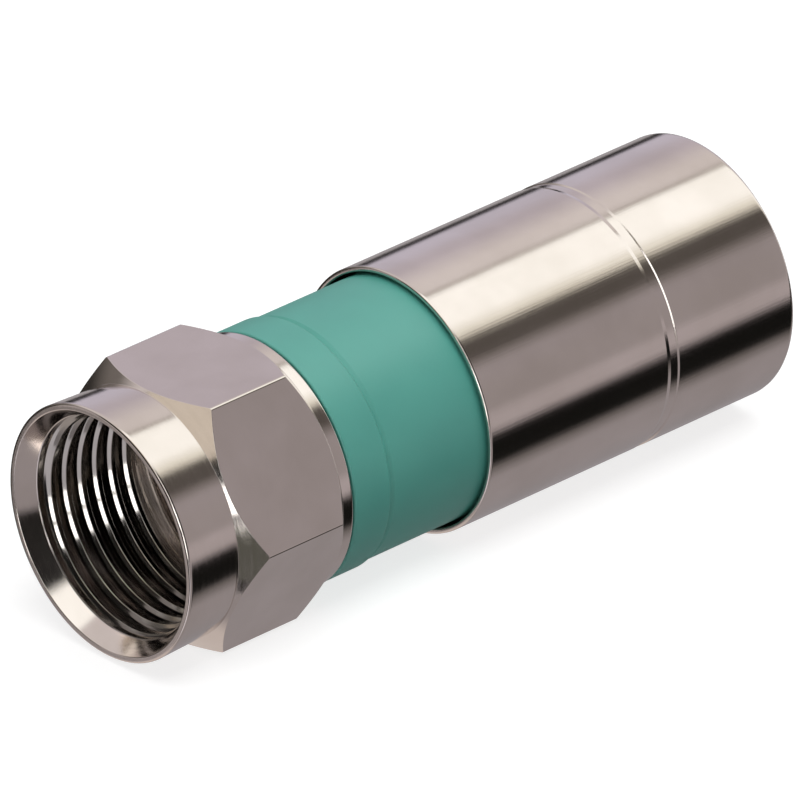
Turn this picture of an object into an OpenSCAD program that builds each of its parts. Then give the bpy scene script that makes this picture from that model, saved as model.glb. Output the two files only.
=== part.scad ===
// F connector for coaxial cable, compression type.
// The axis lies along X. +X points out of the nut's mouth and -X along the cable.
// The origin is on the axis, at the mouth end of the nut's thread.
// Every outline is drawn as [radius, depth], with the depth measured from the nut's rim
// towards the cable, and is then turned about the axis.

/* [Coupling nut] */
// Width of the hexagon across its flats
hex_af = 11; // [10.8:0.05:11.2]
// Length of the nut
nut_len = 8.7; // [8.5:0.1:8.8]
// Radius of the round collar at the rim
collar_r = 5.5; // [5.45:0.01:5.5]
// Radius of the collar where it meets the hexagon
collar_root_r = 5.44; // [5.35:0.01:5.45]
// Length of the collar
collar_len = 2.6; // [2.4:0.1:2.8]
// Major radius of the 3/8-32 thread
thread_r = 4.7625; // [4.76:0.0005:4.78]
// Depth at which the threaded wall starts
thread_start = 1.1; // [1:0.05:1.3]
// Length of the threaded wall
thread_len = 4.8; // [4.5:0.1:5]

/* [Post] */
// Radius of the bore for the cable's dielectric
post_bore_r = 2.45; // [2.35:0.05:2.5]
// Outer radius of the thin tube that goes under the braid
post_tube_r = 2.85; // [2.8:0.05:2.95]
// Radius of the hub that carries the nut and is pressed into the body
hub_r = 3.45; // [3.4:0.05:3.5]
// Radius of the flange that keeps the nut
flange_r = 4.55; // [4.4:0.05:4.6]
// Depth of the post's rear end
post_end = 24; // [22:0.5:24.5]

/* [Body] */
// Radius of the land next to the nut
land_r = 5.43; // [5.4:0.01:5.44]
// Main radius of the body
body_r = 5.33; // [5.3:0.01:5.35]
// Depth of the land's rear edge
land_end = 10.6; // [10.2:0.1:11]
// Depth of the body's rear end
body_end = 19.3; // [18.8:0.1:19.5]
// Radius of the cup that takes the grip ring
cup_r = 4.95; // [4.93:0.01:4.98]

/* [Compression sleeve] */
// Outer radius of the sleeve
sleeve_r = 5.72; // [5.65:0.01:5.75]
// Wall thickness of the sleeve
sleeve_wall = 0.24; // [0.22:0.01:0.26]
// Depth of the front lip while the connector is open
sleeve_start = 15.75; // [15.6:0.05:16]
// Length of the sleeve
sleeve_len = 16.6; // [16.4:0.1:16.8]
// Depth of the rolled groove's front edge
groove_start = 25.42; // [25:0.1:25.8]
// Width of the rolled groove
groove_w = 0.58; // [0.5:0.02:0.7]
// Depth of the rolled groove below the sleeve's surface
groove_drop = 0.06; // [0.04:0.01:0.08]
// Radius of the opening in the turned-in rear edge
mouth_r = 4.35; // [4.3:0.05:4.5]

/* [Grip ring] */
// Outer radius of the wedge nose
nose_r = 4.85; // [4.8:0.01:4.88]
// Radius of the passage for the cable's jacket
entry_r = 4.15; // [4.1:0.05:4.2]
// Depth of the nose's front end
nose_start = 22; // [21.9:0.1:22.5]

/* [Hidden] */

$fn = 96;

// Gap left between pieces that slide or turn on each other
run_gap = 0.05;
// Amount by which a rubber ring is squeezed on the piece that carries it
squeeze = 0.02;

// Nut
hex_corner_r = hex_af / 2 / cos(30);
front_corner_depth = collar_len + (hex_corner_r - collar_root_r) * tan(41);
rear_corner_depth = 7.28;
band_r = 5.47;
rear_arc_depth = rear_corner_depth + (hex_corner_r - band_r) * tan(34);
rim_land = 0.33;
entry_root_r = 4.96;
thread_end = thread_start + thread_len;
relief_r = 4.95;
lip_start = 7.3;
lip_r = hub_r + 0.07;
seal_seat_r = 4.4;
seal_seat_depth = 7.98;
edge = 0.08;

// Post
flange_start = 6.15;
hub_end = 12.9;
barb_r = 3.12;
barb_len = 0.9;
tip_r = 2.6;

// Body
body_start = nut_len + 0.1;
jacket_r = 3.95;
cup_start = 15.9;
bead_r = 5.42;
bead_depth = 18.2;
bead_w = 0.9;
step_len = 0.4;

// Sleeve
bore_r = sleeve_r - sleeve_wall;
sleeve_end = sleeve_start + sleeve_len;
rear_edge = 0.45;
rear_round = 0.18;
groove_end = groove_start + groove_w;

// Grip ring
ring_front = groove_end + run_gap;
ring_end = sleeve_end - rear_edge;
nose_bore_r = 4.35;
seal_pocket_start = 26.9;
seal_pocket_w = 1.2;
seal_pocket_r = 5;

// Half widths of the rubber rings
nut_seal_w = 0.38;
entry_seal_w = 0.58;

// Turns an outline of [radius, depth] points about the connector's axis
module turned()
    translate([thread_start, 0, 0]) rotate([0, -90, 0]) rotate_extrude() children();

// Ring of round section with its middle at a radius and depth
module seal(middle_r, depth, section_r)
    turned() translate([middle_r, depth]) circle(r = section_r, $fn = 32);

// Points of a rounded corner: middle, radius and the angles it runs between
function arc(middle, r, from, to, steps = 6) =
    [for (i = [0:steps]) let (a = from + (to - from) * i / steps) middle + r * [cos(a), sin(a)]];

// Hexagon bar behind the collar, with one flat down
module hexagon_bar()
    translate([thread_start - collar_len, 0, 0]) rotate([0, -90, 0]) rotate([0, 0, 30])
        cylinder(r = hex_corner_r, h = nut_len - collar_len, $fn = 6);

// What the lathe leaves of the bar: a chamfer at each end and the round band at the rear
module chamfered_blank()
    turned() polygon([
        [0, collar_len],
        [collar_root_r, collar_len],
        [hex_corner_r, front_corner_depth],
        [hex_corner_r + 1, front_corner_depth],
        [hex_corner_r + 1, rear_corner_depth],
        [hex_corner_r, rear_corner_depth],
        [band_r, rear_arc_depth],
        [band_r, nut_len - edge],
        [band_r - edge, nut_len],
        [0, nut_len]
    ]);

// Round collar in front of the hexagon, a little wider at the rim
module collar()
    turned() polygon([
        [0, 0],
        [collar_r - edge, 0],
        [collar_r, edge],
        [collar_root_r, collar_len],
        [0, collar_len]
    ]);

// Inside of the nut: entry cone, threaded wall, relief, lip and seal seat
module nut_bore()
    turned() polygon([
        [0, -1],
        [collar_r - rim_land, -1],
        [collar_r - rim_land, 0],
        [entry_root_r, thread_start - (entry_root_r - thread_r)],
        [thread_r, thread_start],
        [thread_r, thread_end],
        [relief_r, thread_end + (relief_r - thread_r)],
        [relief_r, lip_start],
        [lip_r, lip_start],
        [lip_r, seal_seat_depth],
        [seal_seat_r, seal_seat_depth],
        [seal_seat_r, nut_len + 1],
        [0, nut_len + 1]
    ]);

module coupling_nut() {
    color("silver")
        difference() {
            union() {
                collar();
                intersection() {
                    hexagon_bar();
                    chamfered_blank();
                }
            }
            nut_bore();
        }
}

module post() {
    color("gainsboro")
        turned() polygon([
            [post_bore_r + edge, flange_start],
            [flange_r - 2 * edge, flange_start],
            [flange_r, flange_start + 2 * edge],
            [flange_r, lip_start - run_gap],
            [hub_r, lip_start - run_gap],
            [hub_r, hub_end - 2 * edge],
            [hub_r - 2 * edge, hub_end],
            [post_tube_r, hub_end],
            [post_tube_r, post_end - barb_len],
            [barb_r, post_end - barb_len],
            [tip_r, post_end],
            [post_bore_r + edge, post_end],
            [post_bore_r, post_end - edge],
            [post_bore_r, flange_start + edge]
        ]);
}

module body() {
    color("mediumaquamarine")
        turned() polygon(concat(
            [[hub_r, body_start], [land_r - edge, body_start], [land_r, body_start + edge]],
            [[land_r, land_end], [body_r, land_end + step_len]],
            [[body_r, bead_depth], [bead_r, bead_depth + 2 * edge]],
            [[bead_r, bead_depth + bead_w - 2 * edge]],
            [[body_r - 2 * edge, body_end], [cup_r + edge, body_end], [cup_r, body_end - 2 * edge]],
            [[cup_r, cup_start], [jacket_r, cup_start - (cup_r - jacket_r)]],
            [[jacket_r, hub_end + edge], [hub_r, hub_end + edge]]
        ));
}

module nut_seal_ring() {
    color("dimgray")
        seal(hub_r - squeeze + nut_seal_w, body_start + squeeze - nut_seal_w, nut_seal_w);
}

module compression_sleeve() {
    lip_round = sleeve_wall / 2;
    color("silver")
        turned() polygon(concat(
            arc([sleeve_r - lip_round, sleeve_start + lip_round], lip_round, 180, 360, 10),
            [[sleeve_r, groove_start], [sleeve_r - groove_drop, groove_start + groove_drop]],
            [[sleeve_r - groove_drop, groove_end - groove_drop], [sleeve_r, groove_end]],
            arc([sleeve_r - rear_round, sleeve_end - rear_round], rear_round, 0, 90),
            [[mouth_r + edge, sleeve_end], [mouth_r, sleeve_end - edge]],
            [[mouth_r, sleeve_end - rear_edge], [bore_r, sleeve_end - rear_edge]],
            [[bore_r, groove_end], [bore_r - groove_drop, groove_end - groove_drop]],
            [[bore_r - groove_drop, groove_start + groove_drop], [bore_r, groove_start]]
        ));
}

module grip_ring() {
    color("ivory")
        turned() polygon([
            [nose_bore_r, nose_start],
            [nose_r - 4 * edge, nose_start],
            [nose_r, nose_start + 8 * edge],
            [nose_r, ring_front],
            [bore_r, ring_front],
            [bore_r, ring_end],
            [entry_r, ring_end],
            [entry_r, seal_pocket_start + seal_pocket_w],
            [seal_pocket_r, seal_pocket_start + seal_pocket_w],
            [seal_pocket_r, seal_pocket_start],
            [nose_bore_r, seal_pocket_start]
        ]);
}

module entry_seal_ring() {
    color("dimgray")
        seal(seal_pocket_r + squeeze - entry_seal_w, seal_pocket_start + seal_pocket_w / 2,
             entry_seal_w);
}

coupling_nut();
post();
body();
nut_seal_ring();
compression_sleeve();
grip_ring();
entry_seal_ring();
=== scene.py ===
# %% [markdown]
# # A compression F connector
# This connector ends a coaxial aerial or satellite cable. A nickel plated nut turns on a hollow
# post, a green plastic body holds the cable's jacket, and a thin nickel plated sleeve slides
# over the body to clamp it. The sizes come from the CAD model, which is loaded first and stays
# as it is, and each visible part is then rebuilt with the fine edges and finishes of the real one.

# %% Load the CAD frame
import math

import bmesh
import bpy
from mathutils import Matrix, Vector


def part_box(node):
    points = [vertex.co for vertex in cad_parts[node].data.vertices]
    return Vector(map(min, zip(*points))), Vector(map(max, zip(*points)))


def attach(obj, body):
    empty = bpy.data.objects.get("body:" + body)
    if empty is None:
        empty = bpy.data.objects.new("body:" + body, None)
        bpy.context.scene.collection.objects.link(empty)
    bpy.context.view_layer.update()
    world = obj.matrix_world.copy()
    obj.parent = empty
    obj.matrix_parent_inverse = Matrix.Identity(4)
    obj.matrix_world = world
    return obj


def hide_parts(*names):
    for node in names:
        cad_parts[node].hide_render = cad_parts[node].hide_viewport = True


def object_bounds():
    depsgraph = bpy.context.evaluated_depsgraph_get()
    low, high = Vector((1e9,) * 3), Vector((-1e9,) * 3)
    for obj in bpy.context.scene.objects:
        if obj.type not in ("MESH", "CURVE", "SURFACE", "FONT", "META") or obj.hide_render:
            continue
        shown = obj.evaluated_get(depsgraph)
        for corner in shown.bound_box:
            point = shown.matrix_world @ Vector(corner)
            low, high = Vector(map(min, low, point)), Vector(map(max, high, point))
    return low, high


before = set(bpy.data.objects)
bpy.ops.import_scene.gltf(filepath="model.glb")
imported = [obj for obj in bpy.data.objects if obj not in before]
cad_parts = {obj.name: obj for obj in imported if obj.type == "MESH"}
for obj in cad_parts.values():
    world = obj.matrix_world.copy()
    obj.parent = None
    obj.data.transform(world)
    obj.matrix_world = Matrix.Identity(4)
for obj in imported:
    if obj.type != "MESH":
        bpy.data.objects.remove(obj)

cad_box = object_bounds()
print("CAD nodes:", sorted(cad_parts))

# %% [markdown]
# ## Measures used everywhere
# Blender works in metres, a connector is drawn in millimetres and the marks in its finish are
# micrometres deep, so two factors convert them. Every length along the axis is a depth from the
# nut's rim towards the cable, as on a workshop drawing, and the rim's own place is read from
# the CAD node.

# %% Units and the rim
MM, UM = 0.001, 1e-6
rim_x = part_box("coupling_nut")[1].x
floor_z = cad_box[0].z
print(f"rim at x = {rim_x / MM:.2f} mm, floor at z = {floor_z / MM:.2f} mm")

# %% [markdown]
# ## Colours and nodes
# Colours are written as the hex values of a paint chart, which are sRGB. Shaders want linear
# light, so one function converts them. A second small function adds a node, sets it up and
# links it, which keeps each material short enough to read. Two more serve every finish: a ramp
# between two close shades, and a relief as deep as the real marks.


# %% Helpers for colours and nodes
def linear(hex_colour):
    """The linear light of an sRGB hex colour, with full alpha."""
    channels = [int(hex_colour[i : i + 2], 16) / 255 for i in (1, 3, 5)]
    return [c / 12.92 if c <= 0.04045 else ((c + 0.055) / 1.055) ** 2.4 for c in channels] + [1.0]


def add(tree, kind, inputs=None, **settings):
    """Adds a node. A value in inputs is set on that socket, and another node's output is linked."""
    node = tree.nodes.new(kind)
    for name, value in settings.items():
        setattr(node, name, value)
    for socket, value in (inputs or {}).items():
        if isinstance(value, bpy.types.NodeSocket):
            tree.links.new(value, node.inputs[socket])
        else:
            node.inputs[socket].default_value = value
    return node


def new_material(name):
    """A material with an empty node tree."""
    material = bpy.data.materials.new(name)
    material.use_nodes = True
    tree = material.node_tree
    tree.nodes.clear()
    return material, tree


def two_shades(tree, pattern, shades, start):
    """A colour between two close shades, where a pattern goes from start to 1 - start."""
    ramp = add(tree, "ShaderNodeValToRGB", {"Fac": pattern})
    for stop, place, shade in zip(ramp.color_ramp.elements, (start, 1 - start), shades):
        stop.position, stop.color = place, linear(shade)
    return ramp.outputs["Color"]


def relief(tree, pattern, depth, under=None):
    """A bump as deep as a real mark, laid over another relief if one is given."""
    inputs = {"Height": pattern, "Distance": depth, "Strength": 1}
    if under is not None:
        inputs["Normal"] = under
    return add(tree, "ShaderNodeBump", inputs).outputs[0]


print("helpers ready; mid grey is", [round(c, 3) for c in linear("#808080")])

# %% [markdown]
# ## The camera
# The connector is seen from the nut's side and a little above, through a long lens from about
# 0.6 m, as in catalogue work: a long lens keeps the two ends in nearly the same scale. The
# camera also leans about two degrees, so that the connector rises a little more steeply.

# %% Camera
CAMERA_AZIMUTH = math.radians(139.38)
CAMERA_ELEVATION = math.radians(27.85)
CAMERA_ROLL = math.radians(2.38)
CAMERA_DISTANCE = 622.07 * MM
CAMERA_LENS, CAMERA_SENSOR = 696.55, 36
CAMERA_AIM = Vector((-14.566, 0.35, 0.195)) * MM

back = Vector((
    math.sin(CAMERA_AZIMUTH) * math.cos(CAMERA_ELEVATION),
    -math.cos(CAMERA_AZIMUTH) * math.cos(CAMERA_ELEVATION),
    math.sin(CAMERA_ELEVATION),
))
level_right = Vector((math.cos(CAMERA_AZIMUTH), math.sin(CAMERA_AZIMUTH), 0))
right = level_right * math.cos(CAMERA_ROLL) - back.cross(level_right) * math.sin(CAMERA_ROLL)
camera = bpy.data.objects.new("camera", bpy.data.cameras.new("camera"))
camera.data.lens = CAMERA_LENS
camera.data.sensor_width = CAMERA_SENSOR
camera.matrix_world = Matrix.Translation(CAMERA_AIM + back * CAMERA_DISTANCE) @ Matrix(
    (right, back.cross(right), back)
).transposed().to_4x4()
bpy.context.collection.objects.link(camera)
bpy.context.scene.camera = camera
bpy.context.scene.view_settings.view_transform = "Standard"
print("camera at", [round(c, 3) for c in camera.location])

# %% [markdown]
# ## Bright nickel plate
# The nut, the post and the sleeve are brass with a thin coat of bright nickel. Nickel is a
# slightly warm grey metal. The coat copies the brass under it, so tool marks stay in its shine:
# rings on turned faces, and hair lines along the sleeve, which is drawn through a die. A marks
# pattern is a noise stretched hard in one direction. Both patterns read the direction round
# the axis as a point on a unit circle, so that they close without a seam. The real grain of the
# coat is too fine to show, so its mottle is drawn coarser, about 0.15 mm wide. Deep in a bore
# the turned finish gets a darker colour as painted shade, and the thread is painted that dark all
# over.


# %% Nickel plate
# The second pair of shades is painted shade: a darker nickel for the inside of bores and the thread
BRIGHT, PAINTED_SHADE = ("#D0C7C0", "#D8CFC9"), ("#9A9692", "#A5A19C")
GRAIN, GRAIN_DEPTH, HAZE, HAZE_START = 0.15 * MM, 0.7 * UM, 3 * MM, 0.35
MARKS_FROM, MARKS_TO, GLOSS_SPREAD = 0.3, 0.7, 0.25
BORE_BLEND = 0.1


def nickel_plate(name, round_scale, along_scale, depth_um, roughness, shades=BRIGHT, shade_r=0.0):
    """Nickel over marks that have round_scale lines round the axis and along_scale per metre."""
    material, tree = new_material(name)
    place = add(tree, "ShaderNodeTexCoord").outputs["Object"]
    across = add(tree, "ShaderNodeVectorMath", {0: place, 1: (0, 1, 1)}, operation="MULTIPLY")
    circle = add(tree, "ShaderNodeVectorMath", {0: across.outputs[0]}, operation="NORMALIZE")
    turned = add(
        tree, "ShaderNodeVectorMath", {0: circle.outputs[0], "Scale": round_scale},
        operation="SCALE",
    )
    along = add(
        tree, "ShaderNodeVectorMath", {0: place, 1: (along_scale, 0, 0)}, operation="MULTIPLY"
    )
    marks_place = add(tree, "ShaderNodeVectorMath", {0: turned.outputs[0], 1: along.outputs[0]})
    marks = add(
        tree, "ShaderNodeTexNoise",
        {"Vector": marks_place.outputs[0], "Scale": 1, "Detail": 4, "Roughness": 0.6},
    ).outputs["Fac"]
    grain = add(tree, "ShaderNodeTexNoise", {"Vector": place, "Scale": 1 / GRAIN, "Detail": 2})
    # Handling haze: soft patches about 3 mm wide, slightly darker than the rest
    haze = add(tree, "ShaderNodeTexNoise", {"Vector": place, "Scale": 1 / HAZE, "Detail": 3})
    colour = two_shades(tree, haze.outputs["Fac"], shades, HAZE_START)
    if shade_r:
        # Closer to the axis than shade_r the colour is painted darker, as shade in a bore
        reach = add(tree, "ShaderNodeVectorMath", {0: across.outputs[0]}, operation="LENGTH")
        inside = add(
            tree, "ShaderNodeMapRange",
            {"Value": reach.outputs["Value"], "From Min": (shade_r - BORE_BLEND) * MM,
             "From Max": shade_r * MM, "To Min": 1, "To Max": 0},
        )
        shaded = add(tree, "ShaderNodeMix", {"Factor": inside.outputs[0]}, data_type="RGBA")
        tree.links.new(colour, shaded.inputs[6])
        shaded.inputs[7].default_value = linear(PAINTED_SHADE[0])
        colour = shaded.outputs[2]
    gloss = add(
        tree, "ShaderNodeMapRange",
        {"Value": marks, "From Min": MARKS_FROM, "From Max": MARKS_TO,
         "To Min": roughness * (1 - GLOSS_SPREAD), "To Max": roughness * (1 + GLOSS_SPREAD)},
    )
    marked = relief(tree, marks, depth_um * UM)
    shader = add(
        tree, "ShaderNodeBsdfPrincipled",
        {"Base Color": colour, "Metallic": 1, "Roughness": gloss.outputs[0],
         "Normal": relief(tree, grain.outputs["Fac"], GRAIN_DEPTH, marked)},
    )
    add(tree, "ShaderNodeOutputMaterial", {"Surface": shader.outputs[0]})
    print("material", name)
    return material


drawn_nickel = nickel_plate(
    "nickel_on_drawn_brass", round_scale=120, along_scale=150, depth_um=1.5, roughness=0.12
)
# Within 4.8 mm of the axis this finish is painted darker, as shade in the nut's bore and over the
# post
turned_nickel_and_bore_shade = nickel_plate(
    "nickel_on_turned_brass_and_bore_shade", round_scale=3, along_scale=9000, depth_um=1.2, roughness=0.13,
    shade_r=4.8,
)
# The thread's finish uses the dark pair all over, as painted shade deep in the bore
thread_nickel_painted_shade = nickel_plate(
    "nickel_on_thread_painted_shade", round_scale=3, along_scale=9000, depth_um=0.4, roughness=0.12,
    shades=PAINTED_SHADE,
)

# %% [markdown]
# ## Moulded plastics and rubber
# The body is green acetal, a slippery hard plastic that shines softly like soap and lets a
# little light in. The grip ring is the same plastic without pigment. The two sealing rings are
# black rubber, dull and finely textured by their mould.


# %% Plastics and rubber
CLOUD, CLOUD_START, MOULD_SPREAD, LIGHT_SHARE = 2.5 * MM, 0.3, 0.15, 0.3


def moulded(name, shades, roughness, texture_mm, texture_um, depth_mm=0.0, shine=0.5):
    """A moulded material: two close shades, a mould texture and some light let in."""
    material, tree = new_material(name)
    place = add(tree, "ShaderNodeTexCoord").outputs["Object"]
    cloud = add(
        tree, "ShaderNodeTexNoise", {"Vector": place, "Scale": 1 / CLOUD, "Detail": 4}
    ).outputs["Fac"]
    texture = add(
        tree, "ShaderNodeTexNoise",
        {"Vector": place, "Scale": 1 / (texture_mm * MM), "Detail": 3},
    )
    gloss = add(
        tree, "ShaderNodeMapRange",
        {"Value": cloud, "To Min": roughness * (1 - MOULD_SPREAD),
         "To Max": roughness * (1 + MOULD_SPREAD)},
    )
    shader = add(
        tree, "ShaderNodeBsdfPrincipled",
        {"Base Color": two_shades(tree, cloud, shades, CLOUD_START),
         "Roughness": gloss.outputs[0],
         "Normal": relief(tree, texture.outputs["Fac"], texture_um * UM),
         "Specular IOR Level": shine},
    )
    if depth_mm:
        shader.inputs["Subsurface Weight"].default_value = LIGHT_SHARE
        shader.inputs["Subsurface Radius"].default_value = (1, 1, 1)
        shader.inputs["Subsurface Scale"].default_value = depth_mm * MM
    add(tree, "ShaderNodeOutputMaterial", {"Surface": shader.outputs[0]})
    print("material", name)
    return material


green_acetal = moulded(
    "green_acetal", ("#4CA396", "#51A99B"), roughness=0.5, texture_mm=0.12, texture_um=2.0,
    depth_mm=0.25, shine=1.0,
)
natural_acetal = moulded(
    "natural_acetal", ("#E2DCCB", "#EAE5D6"), roughness=0.40, texture_mm=0.15, texture_um=2.0,
    depth_mm=0.4,
)
black_rubber = moulded(
    "black_rubber", ("#1A1A1B", "#222122"), roughness=0.62, texture_mm=0.08, texture_um=4.0
)

# %% [markdown]
# ## Outlines with real edges
# A lathe never leaves a perfectly sharp corner, and it is the tiny rounding that catches a line
# of light. This function takes the corners of an outline and rounds each one. It also puts a
# guard point just outside each rounding, so that smooth shading can't bend the light on the
# plain faces next to it.

# %% Rounded outlines
ARC_STEPS = 4
# How much of the shorter side a rounding may take, and how far out its guard points stand
ROOM_SHARE, GUARD = 0.38, 1.3
# The rounding, in mm, of a corner that names none
EDGE = 0.04


def rounded(corners, edge):
    """Points of a closed outline. A corner is (radius, depth) or (radius, depth, rounding)."""
    points = []
    for i, corner in enumerate(corners):
        here = Vector(corner[:2])
        before, after = Vector(corners[i - 1][:2]), Vector(corners[(i + 1) % len(corners)][:2])
        size = corner[2] if len(corner) > 2 else edge
        to_before, to_after = (before - here), (after - here)
        room = ROOM_SHARE * min(to_before.length, to_after.length)
        to_before.normalize()
        to_after.normalize()
        half = math.acos(max(-1, min(1, to_before.dot(to_after)))) / 2
        reach = min(size / math.tan(half), room)
        size = reach * math.tan(half)
        middle = here + (to_before + to_after).normalized() * (size / math.sin(half))
        first = (here + to_before * reach - middle).normalized()
        last = (here + to_after * reach - middle).normalized()
        points.append(here + to_before * reach * GUARD)
        for step in range(ARC_STEPS + 1):
            points.append(middle + first.slerp(last, step / ARC_STEPS) * size)
        points.append(here + to_after * reach * GUARD)
    return points


print("a square gives", len(rounded([(0, 0), (1, 0), (1, 1), (0, 1)], 0.1)), "points")

# %% [markdown]
# ## Turning with Geometry Nodes
# Six of the seven parts are turned: one outline swept once round the axis. The tree below does
# that for any outline, so each of those parts only has to give its outline. The outline comes
# in as a loop of edges and becomes a curve, a circle round the axis carries it, and the result
# is turned to lie along X.


# %% The turning tree
def new_tree(name, sockets):
    """An empty Geometry Nodes tree with its named inputs, given as name: (type, default)."""
    tree = bpy.data.node_groups.new(name, "GeometryNodeTree")
    tree.interface.new_socket("Geometry", in_out="INPUT", socket_type="NodeSocketGeometry")
    tree.interface.new_socket("Geometry", in_out="OUTPUT", socket_type="NodeSocketGeometry")
    for label, (kind, value) in sockets.items():
        socket = tree.interface.new_socket(label, in_out="INPUT", socket_type="NodeSocket" + kind)
        if value is not None:
            socket.default_value = value
    return tree, add(tree, "NodeGroupInput").outputs


def finish_tree(tree, source, geometry):
    """Ends a tree with smooth faces, real geometry and the material."""
    smooth = add(tree, "GeometryNodeSetShadeSmooth", {"Geometry": geometry})
    real = add(tree, "GeometryNodeRealizeInstances", {"Geometry": smooth.outputs[0]})
    painted = add(
        tree, "GeometryNodeSetMaterial",
        {"Geometry": real.outputs[0], "Material": source["Material"]},
    )
    add(tree, "NodeGroupOutput", {"Geometry": painted.outputs[0]})


turning, given = new_tree("Turning", {
    "Carrier Radius": ("Float", 4 * MM),
    "Rim": ("Float", 0.0),
    "Segments": ("Int", 256),
    "Material": ("Material", None),
})
outline_curve = add(turning, "GeometryNodeMeshToCurve", {"Mesh": given["Geometry"]})
inwards = add(turning, "ShaderNodeMath", {0: given["Carrier Radius"], 1: -1}, operation="MULTIPLY")
shift = add(turning, "ShaderNodeCombineXYZ", {"X": inwards.outputs[0]})
profile = add(
    turning, "GeometryNodeTransform",
    {"Geometry": outline_curve.outputs[0], "Translation": shift.outputs[0]},
)
carrier = add(
    turning, "GeometryNodeCurvePrimitiveCircle",
    {"Resolution": given["Segments"], "Radius": given["Carrier Radius"]},
)
swept = add(
    turning, "GeometryNodeCurveToMesh",
    {"Curve": carrier.outputs[0], "Profile Curve": profile.outputs[0]},
)
to_rim = add(turning, "ShaderNodeCombineXYZ", {"X": given["Rim"]})
laid = add(
    turning, "GeometryNodeTransform",
    {"Geometry": swept.outputs[0], "Translation": to_rim.outputs[0],
     "Rotation": (0, math.radians(90), 0)},
)
finish_tree(turning, given, laid.outputs[0])
print("turning tree has", len(turning.nodes), "nodes")

# %% [markdown]
# A tree is run by a modifier on an object. Its inputs are set by the sockets' identifiers, the
# evaluated result is copied to a plain mesh, and the modifier goes. What is left is an ordinary
# piece at the origin, with its place in its mesh.


# %% Run a tree and keep its mesh
SAME_PLACE = 0.01 * UM


def run_tree(name, tree, start_mesh, **values):
    """A plain object made by a tree from a start mesh and input values."""
    maker = bpy.data.objects.new(name, start_mesh)
    bpy.context.collection.objects.link(maker)
    modifier = maker.modifiers.new("tree", "NODES")
    modifier.node_group = tree
    wanted = {label.replace("_", " ").title(): value for label, value in values.items()}
    for socket in tree.interface.items_tree:
        if socket.in_out == "INPUT" and socket.name in wanted:
            modifier[socket.identifier] = wanted[socket.name]
    evaluated = maker.evaluated_get(bpy.context.evaluated_depsgraph_get())
    mesh = bpy.data.meshes.new_from_object(evaluated)
    maker.modifiers.clear()
    maker.data = mesh
    mesh.name = name
    return tidy(maker)


def tidy(piece):
    """Merges doubles and turns all the faces of a closed shell outwards."""
    shell = bmesh.new()
    shell.from_mesh(piece.data)
    bmesh.ops.remove_doubles(shell, verts=shell.verts, dist=SAME_PLACE)
    bmesh.ops.recalc_face_normals(shell, faces=shell.faces)
    open_edges = sum(not edge.is_manifold for edge in shell.edges)
    shell.to_mesh(piece.data)
    shell.free()
    print(f"{piece.name}: {len(piece.data.polygons)} faces, {open_edges} open edges")
    return piece


def outline_mesh(name, points):
    """A loop of edges from points of (radius, depth) in millimetres."""
    mesh = bpy.data.meshes.new(name)
    count = len(points)
    mesh.from_pydata(
        [(radius * MM, depth * MM, 0) for radius, depth in points],
        [(i, (i + 1) % count) for i in range(count)],
        [],
    )
    return mesh


def turn(name, corners, material):
    """A turned piece from the corners of its outline."""
    start = outline_mesh(name + "_outline", rounded(corners, EDGE))
    return run_tree(name, turning, start, rim=rim_x, material=material)


# %% [markdown]
# ## The compression sleeve
# The sleeve is a thin brass tube, drawn, rolled and plated. Its front lip is rounded over, a
# shallow groove is rolled in near the back to hold the grip ring, and the rear edge is turned
# in. The groove's rear wall is steep and catches a line of light, while its front slope is long
# and hardly shows. It is the piece that the compression tool pushes forward over the green body.

# %% Sleeve
SLEEVE_R, SLEEVE_WALL = 5.72, 0.24
SLEEVE_FRONT, SLEEVE_END = 15.75, 32.35
GROOVE_FRONT, GROOVE_END, GROOVE_DROP = 25.36, 26.0, 0.05
# The groove's long front slope, its steep rear wall, and both slopes inside the tube
GROOVE_SLOPE, GROOVE_WALL, GROOVE_INNER = 0.20, 0.06, 0.10
REAR_TURN, MOUTH_R = 0.45, 4.35
sleeve_bore = SLEEVE_R - SLEEVE_WALL

sleeve = turn("sleeve", [
    (sleeve_bore, SLEEVE_FRONT, SLEEVE_WALL / 2),
    (SLEEVE_R, SLEEVE_FRONT, SLEEVE_WALL / 2),
    (SLEEVE_R, GROOVE_FRONT, 0.08),
    (SLEEVE_R - GROOVE_DROP, GROOVE_FRONT + GROOVE_SLOPE, 0.08),
    (SLEEVE_R - GROOVE_DROP, GROOVE_END - GROOVE_WALL, 0.02),
    (SLEEVE_R, GROOVE_END, 0.02),
    (SLEEVE_R, SLEEVE_END, 0.18),
    (MOUTH_R, SLEEVE_END, 0.06),
    (MOUTH_R, SLEEVE_END - REAR_TURN),
    (sleeve_bore, SLEEVE_END - REAR_TURN),
    (sleeve_bore, GROOVE_END),
    (sleeve_bore - GROOVE_DROP, GROOVE_END - GROOVE_INNER),
    (sleeve_bore - GROOVE_DROP, GROOVE_FRONT + GROOVE_INNER),
    (sleeve_bore, GROOVE_FRONT),
], drawn_nickel)
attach(sleeve, "sleeve")
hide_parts("compression_sleeve")

# %% [markdown]
# ## The green body
# The body is moulded. It has a slightly larger land next to the nut, a fine groove beside the
# land, and a plain barrel that runs under the sleeve, where a bead keeps the sleeve from coming
# off. The band that shows between nut and sleeve is left bare here.

# %% Body
LAND_R, BODY_R, LAND_GROOVE = 5.43, 5.33, 0.1
BODY_FRONT, LAND_END, BODY_END = 8.74, 10.6, 19.3
GROOVE_FOOT, GROOVE_TOP, HUB_GAP = 0.16, 0.34, 0.08
BEAD_R, BEAD_FRONT, BEAD_END, BEAD_SLOPE = 5.42, 18.2, 19.1, 0.16
CUP_R, CUP_DEPTH, JACKET_R, HUB_R, HUB_END = 4.95, 15.9, 3.95, 3.45, 12.9

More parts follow.
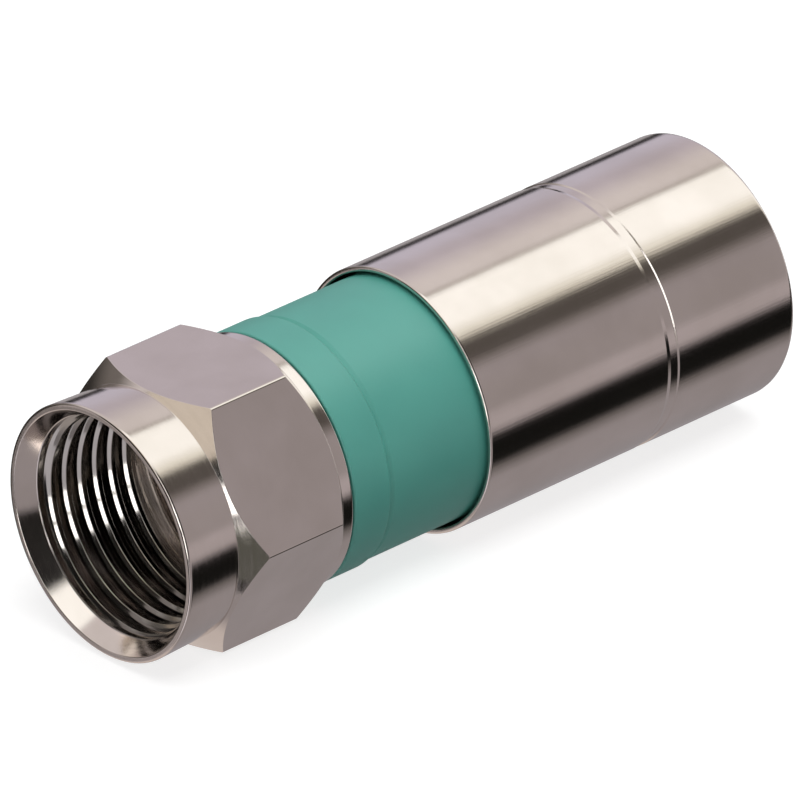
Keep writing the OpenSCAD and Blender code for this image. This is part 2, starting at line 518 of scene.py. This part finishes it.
body = turn("green_body", [
    (HUB_R, BODY_FRONT),
    (LAND_R, BODY_FRONT, 0.10),
    (LAND_R, LAND_END, 0.12),
    (BODY_R - LAND_GROOVE, LAND_END + GROOVE_FOOT, 0.05),
    (BODY_R, LAND_END + GROOVE_TOP, 0.05),
    (BODY_R, BEAD_FRONT),
    (BEAD_R, BEAD_FRONT + BEAD_SLOPE),
    (BEAD_R, BEAD_END - BEAD_SLOPE),
    (BODY_R - BEAD_SLOPE, BODY_END),
    (CUP_R, BODY_END, 0.1),
    (CUP_R, CUP_DEPTH),
    (JACKET_R, CUP_DEPTH - (CUP_R - JACKET_R)),
    (JACKET_R, HUB_END + HUB_GAP),
    (HUB_R, HUB_END + HUB_GAP),
], green_acetal)
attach(body, "core")
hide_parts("body")

# %% [markdown]
# ## The post
# The post is the tube in the middle. The cable's insulation goes into its bore, and its thin
# tail goes under the braid, where a barb holds. Its flange is what the nut pulls on.

# %% Post
POST_BORE, POST_TUBE, FLANGE_R = 2.45, 2.85, 4.55
FLANGE_FRONT, FLANGE_END, POST_END = 6.9, 7.25, 24.0
BARB_R, BARB_LEN, TIP_R = 3.12, 0.9, 2.6

# Every radius of the post lies within 4.8 mm of the axis, so its whole finish is the darker painted
# shade of the bore
post = turn("centre_post", [
    (POST_BORE, FLANGE_FRONT, 0.12),
    (FLANGE_R, FLANGE_FRONT, 0.14),
    (FLANGE_R, FLANGE_END),
    (HUB_R, FLANGE_END),
    (HUB_R, HUB_END, 0.12),
    (POST_TUBE, HUB_END),
    (POST_TUBE, POST_END - BARB_LEN),
    (BARB_R, POST_END - BARB_LEN, 0.03),
    (TIP_R, POST_END, 0.03),
    (POST_BORE, POST_END, 0.03),
], turned_nickel_and_bore_shade)
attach(post, "core")
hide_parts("post")

# %% [markdown]
# ## The grip ring
# The grip ring is pressed into the sleeve behind the groove. When the sleeve goes forward, its
# wedge nose enters the body's cup and squeezes the cable's jacket on the post's barb.

# %% Grip ring
NOSE_R, NOSE_BORE, NOSE_FRONT, ENTRY_R = 4.85, 4.35, 22.0, 4.15
POCKET_R, POCKET_FRONT, POCKET_END = 5.0, 26.9, 28.1
NOSE_CHAMFER, RING_PLAY = 0.32, 0.05
RING_FRONT, RING_END = GROOVE_END + RING_PLAY, SLEEVE_END - REAR_TURN

grip_ring = turn("wedge_ring", [
    (NOSE_BORE, NOSE_FRONT),
    (NOSE_R - NOSE_CHAMFER, NOSE_FRONT, 0.1),
    (NOSE_R, NOSE_FRONT + 2 * NOSE_CHAMFER, 0.1),
    (NOSE_R, RING_FRONT),
    (sleeve_bore, RING_FRONT, 0.08),
    (sleeve_bore, RING_END),
    (ENTRY_R, RING_END, 0.15),
    (ENTRY_R, POCKET_END),
    (POCKET_R, POCKET_END),
    (POCKET_R, POCKET_FRONT),
    (NOSE_BORE, POCKET_FRONT),
], natural_acetal)
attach(grip_ring, "sleeve")
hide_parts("grip_ring")

# %% [markdown]
# ## The rubber rings
# Two O-rings keep water out: one between nut and body, one round the cable's jacket. An O-ring
# is the simplest turned piece there is, a circle swept round the axis.


# %% O-rings
RING_STEPS = 24


def o_ring(name, middle_r, depth, section_r, ride_on, node):
    """A rubber ring of round section."""
    steps = [math.tau * i / RING_STEPS for i in range(RING_STEPS)]
    points = [(middle_r + section_r * math.cos(a), depth + section_r * math.sin(a)) for a in steps]
    start = outline_mesh(name + "_outline", points)
    ring = run_tree(name, turning, start, rim=rim_x, material=black_rubber)
    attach(ring, ride_on)
    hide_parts(node)


o_ring(
    "nut_o_ring", middle_r=3.81, depth=8.44, section_r=0.38, ride_on="core", node="nut_seal_ring"
)
o_ring(
    "entry_o_ring", middle_r=4.44, depth=27.5, section_r=0.58, ride_on="sleeve",
    node="entry_seal_ring",
)

# %% [markdown]
# ## The coupling nut
# The nut starts as hexagon bar, 11 mm across the flats. The lathe cuts a round collar at the
# front, a cone behind it that runs into the hexagon, and a second cone at the rear. Where a
# cone meets the flats, the edge is a row of arcs, deepest at the corners. That shape follows a
# rule, so it is made column by column: each column round the axis knows how far out the bar
# reaches there, and the two cones end where they meet that reach. In the mouth, the tap leaves
# a fine burr where the thread meets the entry cone, and that burr catches a bright line.

# %% Nut sizes
HEX_AF, HEX_CORNER_ROUND = 11.0, 0.15
# Points on a flat, closer together near its corners, and steps of the arc at a corner
FLAT_STEPS, FLAT_SPREAD, CORNER_STEPS = 26, 84, 6
COLLAR_R, COLLAR_ROOT_R, COLLAR_LEN, RIM_LAND = 5.5, 5.39, 2.6, 0.28
FRONT_SLOPE, REAR_SLOPE = math.tan(math.radians(41)), math.tan(math.radians(42))
REAR_CORNER_DEPTH, BAND_R, NUT_LEN = 7.28, 5.47, 8.64
THREAD_R, THREAD_START, THREAD_END, TAP_BURR = 4.7625, 0.82, 5.9, 0.03
RELIEF_R, LIP_START = 4.95, 7.3
LIP_R, SEAT_R, SEAT_DEPTH = 3.52, 4.4, 7.98


def bar_columns():
    """Points across the hexagon bar: the flats in steps and a small arc at each corner."""
    inner = HEX_AF / 2 - HEX_CORNER_ROUND
    half_flat = inner * math.tan(math.radians(30))
    columns = []
    for side in range(6):
        facing = math.radians(60 * side)
        out = Vector((math.sin(facing), math.cos(facing)))
        across = Vector((math.cos(facing), -math.sin(facing)))
        leans = [FLAT_SPREAD * (2 * i / (FLAT_STEPS - 1) - 1) for i in range(FLAT_STEPS)]
        places = [half_flat * math.sin(math.radians(lean)) for lean in leans]
        columns += [out * HEX_AF / 2 + across * w for w in [-half_flat, *places, half_flat]]
        corner = out * inner + across * half_flat
        for step in range(1, CORNER_STEPS):
            lean = facing + math.radians(60 * step / CORNER_STEPS)
            columns.append(corner + HEX_CORNER_ROUND * Vector((math.sin(lean), math.cos(lean))))
    return columns


columns = bar_columns()
print(len(columns), "columns, corners at", round(max(c.length for c in columns), 3), "mm")


# %% Nut mesh
def nut_corners(reach):
    """Corners of the nut's outline where the bar reaches this far from the axis."""
    corner_r = HEX_AF / 2 / math.cos(math.radians(30))
    front = COLLAR_LEN + (reach - COLLAR_ROOT_R) * FRONT_SLOPE
    rear = REAR_CORNER_DEPTH + (corner_r - reach) * REAR_SLOPE
    return [
        (COLLAR_R - RIM_LAND, 0, 0.05),
        (COLLAR_R, 0, 0.14),
        (COLLAR_ROOT_R, COLLAR_LEN, 0.02),
        (reach, front, 0.03),
        (reach, rear, 0.03),
        (BAND_R, REAR_CORNER_DEPTH + (corner_r - BAND_R) * REAR_SLOPE, 0.03),
        (BAND_R, NUT_LEN, 0.10),
        (SEAT_R, NUT_LEN),
        (SEAT_R, SEAT_DEPTH),
        (LIP_R, SEAT_DEPTH),
        (LIP_R, LIP_START),
        (RELIEF_R, LIP_START),
        (RELIEF_R, THREAD_END + RELIEF_R - THREAD_R),
        (THREAD_R, THREAD_END),
        (THREAD_R, THREAD_START + TAP_BURR),
        (THREAD_R - TAP_BURR, THREAD_START, 0.02),
        (THREAD_R + TAP_BURR / 2, THREAD_START - TAP_BURR, 0.02),
    ]


nut_points = []
for column in columns:
    direction = column.normalized()
    outline = rounded(nut_corners(column.length), EDGE)
    nut_points += [
        (rim_x - depth * MM, radius * MM * direction.x, radius * MM * direction.y)
        for radius, depth in outline
    ]
rows = len(nut_points) // len(columns)
nut_faces = [
    (c * rows + r, c * rows + (r + 1) % rows,
     (c + 1) % len(columns) * rows + (r + 1) % rows, (c + 1) % len(columns) * rows + r)
    for c in range(len(columns)) for r in range(rows)
]
nut_mesh = bpy.data.meshes.new("coupling_nut")
nut_mesh.from_pydata(nut_points, [], nut_faces)
nut_mesh.shade_smooth()
nut_mesh.materials.append(turned_nickel_and_bore_shade)
nut = bpy.data.objects.new("nut", nut_mesh)
bpy.context.collection.objects.link(nut)
tidy(nut)
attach(nut, "nut")
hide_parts("coupling_nut")

# %% [markdown]
# ## The thread
# The thread is a 3/8 inch one with 32 turns to the inch: a ridge that winds along the wall
# with 0.794 mm between turns. The tap and the plating leave it low and soft, with a hollow foot,
# a waist and a narrow crest. A ridge that follows a path is a job for Geometry Nodes: a spiral
# curve carries that section. The ridge grows out of the wall at the mouth, where the entry cone
# cuts it, and sinks into the wall at its end.

# %% The thread tree
# Shares of the ridge's length over which it sinks into the wall at its ends
INNER_FADE, MOUTH_FADE = 0.07, 0.08

thread_tree, given = new_tree("Thread ridge", {
    "Pitch": ("Float", 0.79375 * MM),
    "Turns": ("Float", 6.0),
    "Wall Radius": ("Float", THREAD_R * MM),
    "Start": ("Float", 0.0),
    "Start Angle": ("Float", 0.0),
    "Steps Per Turn": ("Int", 144),
    "Material": ("Material", None),
})
rise = add(
    thread_tree, "ShaderNodeMath", {0: given["Pitch"], 1: given["Turns"]}, operation="MULTIPLY"
)
helix = add(
    thread_tree, "GeometryNodeCurveSpiral",
    {"Resolution": given["Steps Per Turn"], "Rotations": given["Turns"],
     "Start Radius": given["Wall Radius"], "End Radius": given["Wall Radius"],
     "Height": rise.outputs[0], "Reverse": True},
)
upright = add(
    thread_tree, "GeometryNodeSetCurveNormal", {"Curve": helix.outputs[0]}, mode="Z_UP"
)
along = add(thread_tree, "GeometryNodeSplineParameter").outputs["Factor"]
inner_end = add(thread_tree, "ShaderNodeMapRange", {"Value": along, "From Max": INNER_FADE})
mouth_end = add(
    thread_tree, "ShaderNodeMapRange", {"Value": along, "From Min": 1, "From Max": 1 - MOUTH_FADE}
)
growth = add(
    thread_tree, "ShaderNodeMath", {0: inner_end.outputs[0], 1: mouth_end.outputs[0]},
    operation="MINIMUM",
)
section = add(thread_tree, "GeometryNodeMeshToCurve", {"Mesh": given["Geometry"]})
ridge = add(
    thread_tree, "GeometryNodeCurveToMesh",
    {"Curve": upright.outputs[0], "Profile Curve": section.outputs[0],
     "Scale": growth.outputs[0], "Fill Caps": True},
)
start_turn = add(thread_tree, "ShaderNodeCombineXYZ", {"Z": given["Start Angle"]})
turned = add(
    thread_tree, "GeometryNodeTransform",
    {"Geometry": ridge.outputs[0], "Rotation": start_turn.outputs[0]},
)
to_start = add(thread_tree, "ShaderNodeCombineXYZ", {"X": given["Start"]})
laid = add(
    thread_tree, "GeometryNodeTransform",
    {"Geometry": turned.outputs[0], "Translation": to_start.outputs[0],
     "Rotation": (0, math.radians(90), 0)},
)
finish_tree(thread_tree, given, laid.outputs[0])

# %% Thread
THREAD_TURNS, THREAD_INNER_END, THREAD_ANGLE = 6.0, 5.80, math.radians(95)
RIDGE_H, CREST_W, BEDDED = 0.27, 0.21, 0.03
WAIST_H, FOOT_SLOPE, HEAD_SLOPE = 0.12, math.tan(math.radians(27)), math.tan(math.radians(38))
WAIST_W = CREST_W + 2 * (RIDGE_H - WAIST_H) * HEAD_SLOPE
ROOT_W = WAIST_W + 2 * (WAIST_H + BEDDED) * FOOT_SLOPE
ridge_section = outline_mesh("thread_section", rounded([
    (BEDDED, -ROOT_W / 2), (-WAIST_H, -WAIST_W / 2, 0.3), (-RIDGE_H, -CREST_W / 2, 0.05),
    (-RIDGE_H, CREST_W / 2, 0.05), (-WAIST_H, WAIST_W / 2, 0.3), (BEDDED, ROOT_W / 2),
], 0.02))
# The ridge's finish is the dark pair of shades all over, as painted shade for the thread deep in
# the bore
thread = run_tree(
    "nut_thread", thread_tree, ridge_section,
    turns=THREAD_TURNS, start=rim_x - THREAD_INNER_END * MM, start_angle=THREAD_ANGLE,
    material=thread_nickel_painted_shade,
)
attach(thread, "nut")
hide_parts("coupling_nut")

# %% [markdown]
# ## Floor
# The connector lies on a plain white sweep. To the camera the paper glows at three quarters of
# white and the light that falls on it brings the rest, so it is white all over and only the
# soft shadow under the part stays a little below. Glossy and transmission rays get the same
# glow. The shiny metal itself is lit by cards, as a photographer would do it, so the floor is
# left out of its reflections, where it would only show the dark gap under the part.

# %% Floor
FLOOR_SIZE, FLOOR_GLOW, FIBRES, PAPER_SHADES = 4, 0.75, 0.6 * MM, (0.44, 0.48)


def seen_in_view(tree):
    """1 for camera, glossy and transmission rays, 0 for the rays that carry light."""
    rays = add(tree, "ShaderNodeLightPath").outputs
    seen = rays["Is Camera Ray"]
    for kind in ("Is Glossy Ray", "Is Transmission Ray"):
        seen = add(tree, "ShaderNodeMath", {0: seen, 1: rays[kind]}, operation="MAXIMUM").outputs[0]
    return seen


floor_material, tree = new_material("white_sweep")
place = add(tree, "ShaderNodeTexCoord").outputs["Object"]
fibres = add(tree, "ShaderNodeTexNoise", {"Vector": place, "Scale": 1 / FIBRES})
paper = add(
    tree, "ShaderNodeMapRange",
    {"Value": fibres.outputs["Fac"], "To Min": PAPER_SHADES[0], "To Max": PAPER_SHADES[1]},
)
lit = add(tree, "ShaderNodeBsdfDiffuse", {"Color": paper.outputs[0]})
share = add(tree, "ShaderNodeMath", {0: seen_in_view(tree), 1: FLOOR_GLOW}, operation="MULTIPLY")
glow = add(tree, "ShaderNodeEmission", {"Color": linear("#FFFFFF"), "Strength": share.outputs[0]})
both = add(tree, "ShaderNodeAddShader", {0: lit.outputs[0], 1: glow.outputs[0]})
add(tree, "ShaderNodeOutputMaterial", {"Surface": both.outputs[0]})

bpy.ops.mesh.primitive_plane_add(size=FLOOR_SIZE, location=(0, 0, floor_z))
floor = bpy.context.object
floor.name = "floor"
floor.data.materials.append(floor_material)
floor.visible_glossy = False
print("floor at", round(floor_z / MM, 3), "mm")

# %% [markdown]
# ## Light
# A shiny cylinder shows the studio, not its own colour. So a tunnel of long cards runs along
# the connector's axis: a bright soft box overhead, pale cards on the far side, grey cards on
# the near side, and black cards between them that draw the dark lines. A short length with
# darker cards stands before the nut, because the collar's front and the entry cone look that
# way. Only reflections see the tunnel. The plastics and the floor are lit by one large soft box
# overhead and a fill from all round.

# %% Cards
TUNNEL_R, TUNNEL_SEAM, TUNNEL_SIDES = 0.35, -125, 96
TUNNEL_REAR, TUNNEL_SPLIT = -1.2, -0.1
PLAIN_GLOW = 1.5
# Each card: where it starts and ends, in degrees from straight up towards +Y, and its colour
SIDE_CARDS = [
    (-125, -101, "#8E8A8C"), (-98, -90, "#2A2829"), (-85, -70, "#B2AEBA"), (-57, -53, "#AEA8B0"),
    (-30, -19, "#C9C4C3"), (-16.5, -15.5, "#9C9792"), (-12, 17, "#FDFFFC"), (28, 28, "#DCDACE"),
    (35, 48, "#4E4A47"), (54, 54, "#767170"), (60, 64, "#908A8C"), (75, 92, "#8F898A"),
    (98, 109, "#A29B9D"), (117, 140, "#121211"), (146, 146, "#666261"), (157, 180, "#8A8587"),
    (205, 235, "#837F81"),
]
NEAR_CARDS = [
    (-125, -93, "#2E2C2A"), (-80, -72, "#66625F"), (-57, -16, "#C4BFBF"), (-12, 23, "#FDFFFC"),
    (33, 96, "#1A1918"), (104, 180, "#8B8688"), (192, 222, "#B9B1AD"), (232, 235, "#8B8688"),
]
# Cards on the wall before the mouth: colour, strength and corners as (towards +Y, up), where
# 1 is as far from the axis as the wall is from the origin
WALL_X, WALL_DARK = 0.236, "#1A1918"
WALL_CARDS = [
    ("upper_card", "#C8C0B4", PLAIN_GLOW, [
        (-1.15, 0.84), (-0.87, 0.80), (-0.5, 0.76), (-0.2, 0.66), (0, 0.58), (0.2, 0.46),
        (0.28, 0.45), (0.42, 0.8), (0.5, 1.2), (0, 1.45), (-0.6, 1.3), (-1.1, 0.95)]),
    ("glint_card", "#FFFFFF", 3.0, [
        (0.43, 0.23), (0.50, 0.06), (0.55, -0.08), (0.64, -0.06), (0.59, 0.09), (0.51, 0.25)]),
    ("side_card", "#8E8887", PLAIN_GLOW, [
        (-0.86, 0.76), (-0.86, -0.2), (-1.45, -0.2), (-1.4, 0.45), (-1.2, 0.8)]),
    ("low_card", "#A09A9A", PLAIN_GLOW, [
        (-1.45, -0.2), (-0.86, -0.2), (-0.7, -0.6), (-0.7, -1.28), (-1.0, -1.09), (-1.3, -0.7)]),
    ("corner_card", "#52534D", PLAIN_GLOW, [
        (0.57, -0.22), (0.75, -0.22), (0.75, -0.7), (0.66, -1.1), (0.54, -1.1), (0.60, -0.65)]),
    ("floor_card", "#D8D4DA", PLAIN_GLOW, [
        (0.53, -0.38), (0.53, -0.75), (0.47, -1.1), (0.38, -1.42), (-0.5, -1.39), (-0.5, -1.0),
        (0.1, -0.5), (0.3, -0.36)]),
]
# Round lamps on the same wall: place, radius and strength
WALL_LAMPS = [(0.452, -0.22, 0.13, 6.0), (0.36, 0.07, 0.13, 6.0)]
# Curved strips on it: colour, strength, where they start and end round the axis, inner and outer
STRIPS = [
    ("rim_strip", "#FFFFFF", 2.5, 25, 104, 0.78, 1.30),
    ("window_strip", "#FFFFFF", 3.0, 83, 93, 1.33, 1.47),
    ("sill_strip", "#A8A2A0", PLAIN_GLOW, 93, 130, 1.33, 1.47),
]


def card_material(name, cards):
    """Glowing paper whose colour follows the cards round the axis."""
    material, tree = new_material(name)
    place = add(tree, "ShaderNodeTexCoord").outputs["Object"]
    spot = add(tree, "ShaderNodeSeparateXYZ", {0: place}).outputs
    angle = add(tree, "ShaderNodeMath", {0: spot["Y"], 1: spot["Z"]}, operation="ARCTAN2")
    share = add(
        tree, "ShaderNodeMath",
        {0: angle.outputs[0], 1: 1 / math.tau, 2: -TUNNEL_SEAM / 360}, operation="MULTIPLY_ADD",
    )
    share = add(tree, "ShaderNodeMath", {0: share.outputs[0]}, operation="FRACT")
    shades = add(tree, "ShaderNodeValToRGB", {"Fac": share.outputs[0]})
    stops = shades.color_ramp.elements
    sides = [(side, colour) for start, end, colour in cards for side in sorted({start, end})]
    stops[0].color, stops[1].color = linear(sides[0][1]), linear(sides[-1][1])
    for side, colour in sides[1:-1]:
        stops.new((side - TUNNEL_SEAM) / 360).color = linear(colour)
    glow = add(
        tree, "ShaderNodeEmission", {"Color": shades.outputs["Color"], "Strength": PLAIN_GLOW}
    )
    add(tree, "ShaderNodeOutputMaterial", {"Surface": glow.outputs[0]})
    return material


# %% Card tunnel
def reflected_only(card):
    """Puts a card in the studio so that only reflections see it."""
    bpy.context.collection.objects.link(card)
    card.visible_camera = False
    card.visible_diffuse = False
    card.visible_transmission = False
    card.visible_shadow = False


def tunnel_length(name, x_from, x_to, cards):
    """One length of the tunnel, seen by reflections only."""
    shell = bmesh.new()
    bmesh.ops.create_cone(
        shell, segments=TUNNEL_SIDES, radius1=TUNNEL_R, radius2=TUNNEL_R, depth=x_to - x_from,
        matrix=Matrix.Translation(((x_from + x_to) / 2, 0, 0))
        @ Matrix.Rotation(math.radians(90), 4, "Y"),
    )
    mesh = bpy.data.meshes.new(name)
    shell.to_mesh(mesh)
    shell.free()
    mesh.materials.append(card_material(name + "_cards", cards))
    reflected_only(bpy.data.objects.new(name, mesh))
    print(f"{name}: {len(cards)} cards")


tunnel_length("side_tunnel", TUNNEL_REAR, TUNNEL_SPLIT, SIDE_CARDS)
tunnel_length("near_tunnel", TUNNEL_SPLIT, WALL_X, NEAR_CARDS)

# %% [markdown]
# ### The wall before the mouth
# The thread's flanks and the chamfers at the hexagon's front look forward, out of the tunnel.
# A dark wall closes it there, and pale cards, two round lamps and three curved strips hang on
# the wall. Each one answers one face: the lamps make the double sparkle on every ridge, the
# strips draw fine lines along edges such as the rim and the sleeve's groove, and the dark
# between them gives the depth.


# %% Wall before the mouth
ARC_POINTS, CIRCLE_POINTS = 17, 32


def wall_card(name, colour, strength, corners, x):
    """A flat glowing card across the axis, seen by reflections only."""
    mesh = bpy.data.meshes.new(name)
    mesh.from_pydata([(x, u * WALL_X, v * WALL_X) for u, v in corners], [], [range(len(corners))])
    material, tree = new_material(name + "_glow")
    glow = add(tree, "ShaderNodeEmission", {"Color": linear(colour), "Strength": strength})
    add(tree, "ShaderNodeOutputMaterial", {"Surface": glow.outputs[0]})
    mesh.materials.append(material)
    reflected_only(bpy.data.objects.new(name, mesh))


def disc(u, v, radius):
    """Corners of a round card."""
    angles = [math.tau * i / CIRCLE_POINTS for i in range(CIRCLE_POINTS)]
    return [(u + radius * math.cos(a), v + radius * math.sin(a)) for a in angles]


def strip(start, end, inner, outer):
    """Corners of a curved strip between two angles, in degrees, and two radii."""
    shares = [i / (ARC_POINTS - 1) for i in range(ARC_POINTS)]
    angles = [math.radians(start + (end - start) * share) for share in shares]
    near_side = [(inner * math.sin(a), inner * math.cos(a)) for a in angles]
    return near_side + [(outer * math.sin(a), outer * math.cos(a)) for a in reversed(angles)]


wall_card("dark_wall", WALL_DARK, PLAIN_GLOW, disc(0, 0, TUNNEL_R / WALL_X), WALL_X)
for name, colour, strength, corners in WALL_CARDS:
    wall_card(name, colour, strength, corners, WALL_X - MM)
for name, colour, strength, *arc in STRIPS:
    wall_card(name, colour, strength, strip(*arc), WALL_X - MM)
for number, (u, v, radius, strength) in enumerate(WALL_LAMPS):
    wall_card(f"lamp_{number}", "#FFFFFF", strength, disc(u, v, radius), WALL_X - 2 * MM)
print(len(WALL_CARDS), "cards,", len(STRIPS), "strips and", len(WALL_LAMPS), "lamps on the wall")

# %% [markdown]
# ### Fill and background
# The world is the fill light from all round, about a third as strong as white. To the camera,
# and in glossy and transmission rays, it is plain white, so the background stays white without
# any more light on the connector.

# %% World
FILL = 0.36
world = bpy.data.worlds.new("studio")
world.use_nodes = True
tree = world.node_tree
tree.nodes.clear()
level = add(tree, "ShaderNodeMapRange", {"Value": seen_in_view(tree), "To Min": FILL, "To Max": 1})
sky = add(
    tree, "ShaderNodeBackground", {"Color": linear("#FFFFFF"), "Strength": level.outputs[0]}
)
add(tree, "ShaderNodeOutputWorld", {"Surface": sky.outputs[0]})
bpy.context.scene.world = world
print("fill", FILL)

# %% [markdown]
# ### The overhead soft box
# One large soft box lights the plastics and the floor. It leans a little to the near side, so
# the green band is palest just in front of its top. The metal doesn't reflect it, because the
# tunnel's bright card stands in for it there.

# %% Overhead soft box
LAMP_LEAN, LAMP_DISTANCE = math.radians(19), 0.5
LAMP_LENGTH, LAMP_WIDTH, LAMP_WATTS = 0.5, 0.3, 1.6
lamp_data = bpy.data.lights.new("overhead_soft_box", "AREA")
lamp_data.shape = "RECTANGLE"
lamp_data.size, lamp_data.size_y = LAMP_LENGTH, LAMP_WIDTH
lamp_data.energy = LAMP_WATTS
lamp = bpy.data.objects.new("overhead_soft_box", lamp_data)
lamp.location = Vector((0, math.sin(LAMP_LEAN), math.cos(LAMP_LEAN))) * LAMP_DISTANCE
lamp.rotation_euler = (-LAMP_LEAN, 0, 0)
lamp.visible_glossy = False
bpy.context.collection.objects.link(lamp)
print("lamp", LAMP_WATTS, "W")
